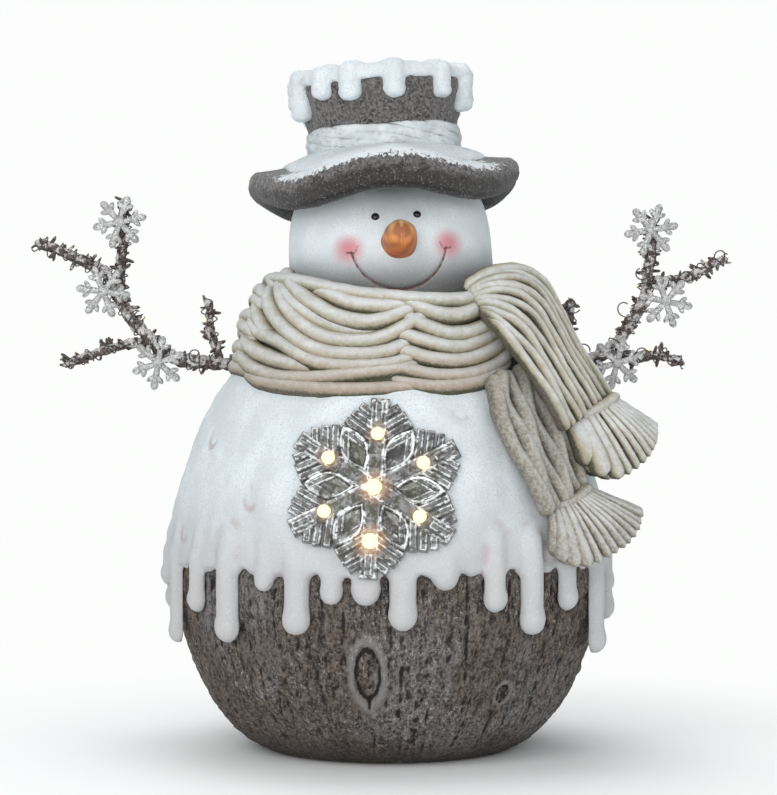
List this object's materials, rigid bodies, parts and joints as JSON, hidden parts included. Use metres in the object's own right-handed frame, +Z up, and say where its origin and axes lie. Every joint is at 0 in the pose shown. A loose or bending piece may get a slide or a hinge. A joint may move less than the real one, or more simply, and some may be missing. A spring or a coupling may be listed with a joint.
{
  "type": "lit snowman statue",
  "caption": "Battery-lit cast snowman statue on a bark stump, with top hat, knitted scarf, clear lit snowflake on the chest and wired twig arms that turn in their sockets.",
  "frame": {"origin": "middle of the flat underside of the stump", "axes": "+Z up, -Y towards the front, which the face and the snowflake look to, +X to the right as seen from the front"},
  "size_m": [0.4362, 0.2761, 0.4197],
  "materials": {
    "bark_casting": "cast resin painted as weathered bark, frosted",
    "base_board": "plain moulded base plate",
    "snow_casting": "cast resin painted white with fine glitter",
    "scarf_casting": "cast resin with a carved yarn texture, antiqued",
    "hat_casting": "cast resin with a felt texture, grey brown",
    "band_casting": "cast resin, twisted pale band",
    "black_bead": "gloss black bead",
    "carrot_paint": "cast resin painted carrot orange",
    "clear_acrylic": "clear cast acrylic with faceted edges and silver glitter",
    "glitter_acrylic": "clear plastic with silver glitter",
    "circuit_board": "green circuit board",
    "screw_steel": "zinc plated steel",
    "housing_plastic": "moulded white plastic",
    "switch_metal": "pressed tin plated can",
    "black_plastic": "moulded black plastic",
    "cell_sleeve": "plain printed sleeve",
    "spring_steel": "nickel plated spring steel",
    "socket_plastic": "moulded brown plastic",
    "lead_sleeve": "black PVC twin lead",
    "twig_bark": "wire cored artificial twig, frosted",
    "fine_wire": "thin silver light wire",
    "warm_led": "warm white lamp"
  },
  "bodies": {
    "figure": {"stump_shell": "bark_casting", "base_plate": "base_board", "base_screws": "screw_steel", "snow_mantle": "snow_casting", "scarf_wrap": "scarf_casting", "scarf_tail_upper": "scarf_casting", "scarf_tail_lower": "scarf_casting", "scarf_fringe_upper": "scarf_casting", "scarf_fringe_lower": "scarf_casting", "head_shell": "snow_casting", "eye_beads": "black_bead", "carrot_nose": "carrot_paint", "hat_brim": "hat_casting", "brim_snow": "snow_casting", "hat_crown": "hat_casting", "hat_band": "band_casting", "hat_snow_cap": "snow_casting", "snowflake_lens": "clear_acrylic", "led_board": "circuit_board", "flake_leds": "warm_led", "board_screws": "screw_steel", "battery_housing": "housing_plastic", "housing_screws": "screw_steel", "timer_board": "circuit_board", "slide_switch": "switch_metal", "battery_cells": "cell_sleeve", "contact_springs": "spring_steel", "contact_plates": "spring_steel", "left_socket": "socket_plastic", "right_socket": "socket_plastic", "lead_flake": "lead_sleeve", "lead_left_arm": "lead_sleeve", "lead_right_arm": "lead_sleeve"},
    "arm_left": {"left_arm_plug": "socket_plastic", "left_branch": "twig_bark", "left_lower_twig": "twig_bark", "left_short_twig": "twig_bark", "left_mini_flakes": "glitter_acrylic", "left_lights": "warm_led", "left_wire": "fine_wire", "left_upper_twig": "twig_bark"},
    "arm_right": {"right_arm_plug": "socket_plastic", "right_branch": "twig_bark", "right_lower_twig": "twig_bark", "right_short_twig": "twig_bark", "right_mini_flakes": "glitter_acrylic", "right_lights": "warm_led", "right_wire": "fine_wire", "right_fork_twig": "twig_bark"},
    "door": {"battery_door": "housing_plastic"},
    "door_fastener": {"door_screw": "screw_steel"},
    "switch_knob": {"switch_slider": "black_plastic"}
  },
  "joints": [
    {"name": "arm_left_turn", "type": "hinge", "parent": "figure", "child": "arm_left", "pos_m": [-0.095, 0.008, 0.235], "axis": [1, 0, 0], "range_deg": [-25, 25]},
    {"name": "arm_right_turn", "type": "hinge", "parent": "figure", "child": "arm_right", "pos_m": [0.095, 0.008, 0.235], "axis": [1, 0, 0], "range_deg": [-25, 25]},
    {"name": "battery_door_hinge", "type": "hinge", "parent": "figure", "child": "door", "pos_m": [-0.0347, 0.12, 0.091], "axis": [0, 0, 1], "range_deg": [0, 100]},
    {"name": "door_screw_turn", "type": "hinge", "parent": "door", "child": "door_fastener", "pos_m": [0.029, 0.121, 0.091], "axis": [0, 1, 0], "continuous": true},
    {"name": "switch_slide", "type": "slide", "parent": "figure", "child": "switch_knob", "axis": [0, 0, 1], "range_m": [0, 0.004]}
  ]
}
